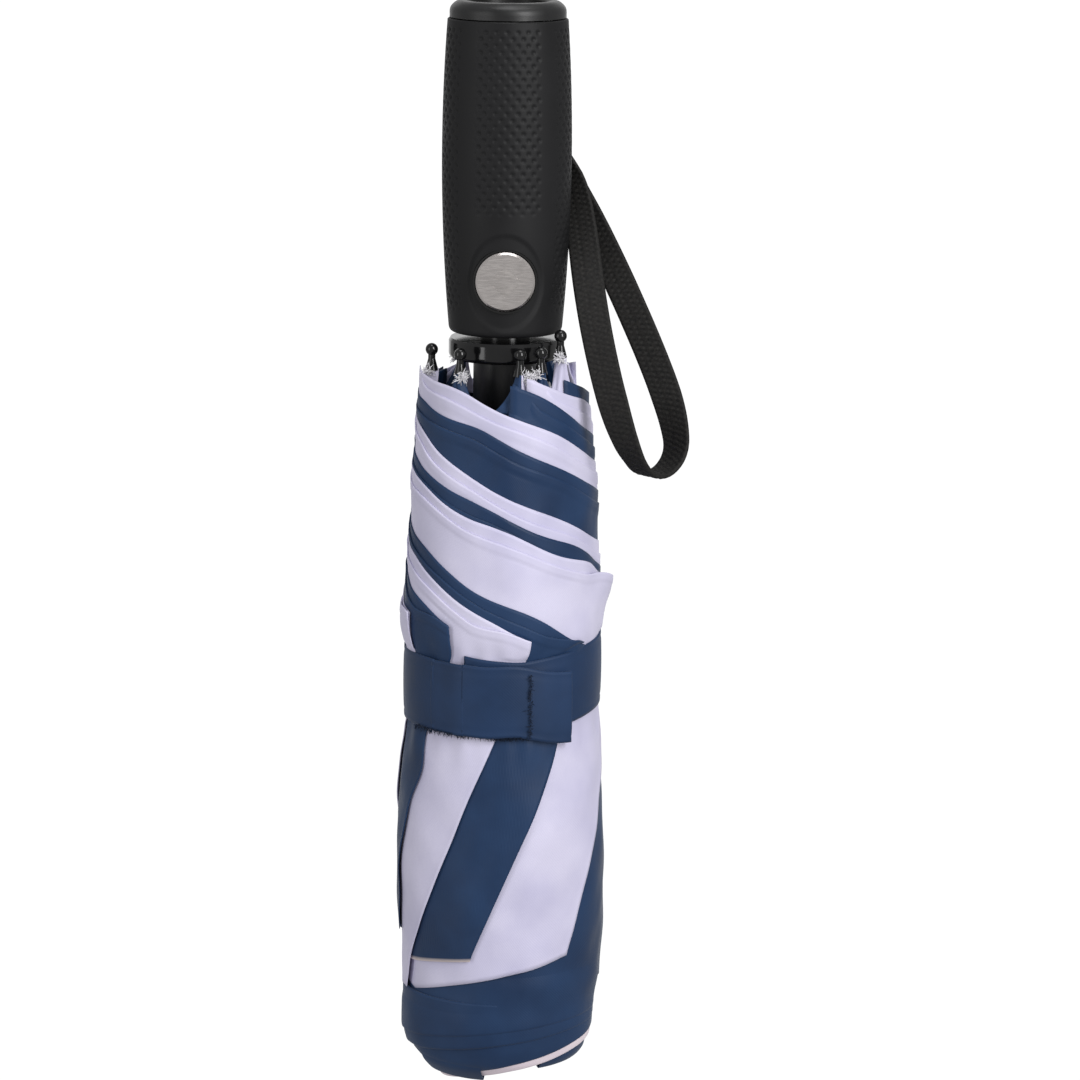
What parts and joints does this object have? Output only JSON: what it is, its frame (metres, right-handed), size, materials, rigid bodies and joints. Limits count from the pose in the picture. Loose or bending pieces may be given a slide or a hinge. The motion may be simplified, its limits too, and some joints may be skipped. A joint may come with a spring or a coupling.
{
  "type": "folding umbrella",
  "caption": "Compact automatic folding umbrella, closed and strapped: rubber handle with push button and wrist loop, telescopic shaft, folded ribs and rolled two-tone canopy.",
  "frame": {"origin": "on the shaft axis at the handle's free end, in the plane of the end cap's rim", "axes": "+Z out of the handle's end along the shaft, -Y the way the push button faces, +X to the right seen from the button's side"},
  "size_m": [0.0747, 0.0564, 0.286],
  "materials": {
    "grip_rubber": "matte black soft rubber with a fine dimpled grid",
    "black_plastic": "black moulded plastic, satin",
    "gloss_black": "polished black plastic",
    "nickel_button": "brushed nickel with a polished bevel",
    "shaft_steel": "black lacquered steel tube",
    "spring_steel": "bright spring wire",
    "rib_steel": "grey coated steel ribs",
    "rod_fibre": "pale fibreglass rods",
    "navy_fabric": "navy and lavender woven polyester, satin",
    "navy_strap": "navy woven strap",
    "hook_pile": "navy hook and loop pile",
    "webbing": "black ribbed webbing"
  },
  "bodies": {
    "handle": {"handle_core": "black_plastic", "grip_sleeve": "grip_rubber", "handle_cap": "gloss_black", "cap_disc": "gloss_black", "cap_screw": "spring_steel", "button_bezel": "black_plastic", "button_spring": "spring_steel", "latch_pin": "spring_steel", "tube_pin": "spring_steel", "tube_plug": "black_plastic", "strap_pin": "spring_steel", "tube_outer": "shaft_steel", "tube_outer_bush": "black_plastic", "opening_spring": "spring_steel"},
    "button": {"button": "nickel_button"},
    "latch": {"latch_rocker": "black_plastic"},
    "middle_tube": {"tube_middle": "shaft_steel", "tube_middle_bush": "black_plastic", "tube_middle_guide": "black_plastic"},
    "canopy_frame": {"tube_inner": "shaft_steel", "tube_inner_guide": "black_plastic", "crown": "black_plastic", "crown_wire": "spring_steel", "crown_cap": "black_plastic", "crown_washer": "spring_steel", "runner": "black_plastic", "runner_wire": "spring_steel", "runner_bell": "gloss_black", "stretchers": "rib_steel", "top_ribs": "rib_steel", "middle_ribs": "rib_steel", "outer_ribs": "rod_fibre", "rib_hinges": "rib_steel", "stretcher_rivets": "spring_steel", "elbow_joints": "black_plastic", "rib_tips": "gloss_black", "canopy": "navy_fabric", "closure_strap": "navy_strap", "loop_patch": "hook_pile"},
    "strap_tab": {"closure_tab": "navy_strap", "hook_patch": "hook_pile"},
    "wrist_loop": {"wrist_strap": "webbing", "strap_eye": "webbing"}
  },
  "joints": [
    {"name": "shaft_extend", "type": "slide", "parent": "handle", "child": "middle_tube", "axis": [0, 0, -1], "range_m": [0, 0.147], "deforming": ["opening_spring"]},
    {"name": "shaft_extend_upper", "type": "slide", "parent": "middle_tube", "child": "canopy_frame", "axis": [0, 0, -1], "range_m": [0, 0.147]},
    {"name": "button_press", "type": "slide", "parent": "handle", "child": "button", "axis": [0, 1, 0], "range_m": [0, 0.0015], "stiffness_N_per_m": 900, "springref_m": -0.002, "deforming": ["button_spring"]},
    {"name": "latch_tilt", "type": "hinge", "parent": "handle", "child": "latch", "pos_m": [0, -0.0093, -0.078], "axis": [-1, 0, 0], "range_deg": [0, 12.4]},
    {"name": "strap_tab_peel", "type": "hinge", "parent": "canopy_frame", "child": "strap_tab", "pos_m": [-0.01147, -0.02461, -0.1795], "axis": [0, 0, -1], "range_deg": [0, 120]},
    {"name": "wrist_strap_swing", "type": "hinge", "parent": "handle", "child": "wrist_loop", "pos_m": [0.00863, 0.00863, -0.036], "axis": [0.7071, -0.7071, 0], "range_deg": [0, 90]}
  ],
  "couplings": [
    {"joint": "shaft_extend_upper", "follows": "shaft_extend", "ratio": 1},
    {"joint": "latch_tilt", "follows": "button_press", "rad_per_m": 144.28}
  ]
}
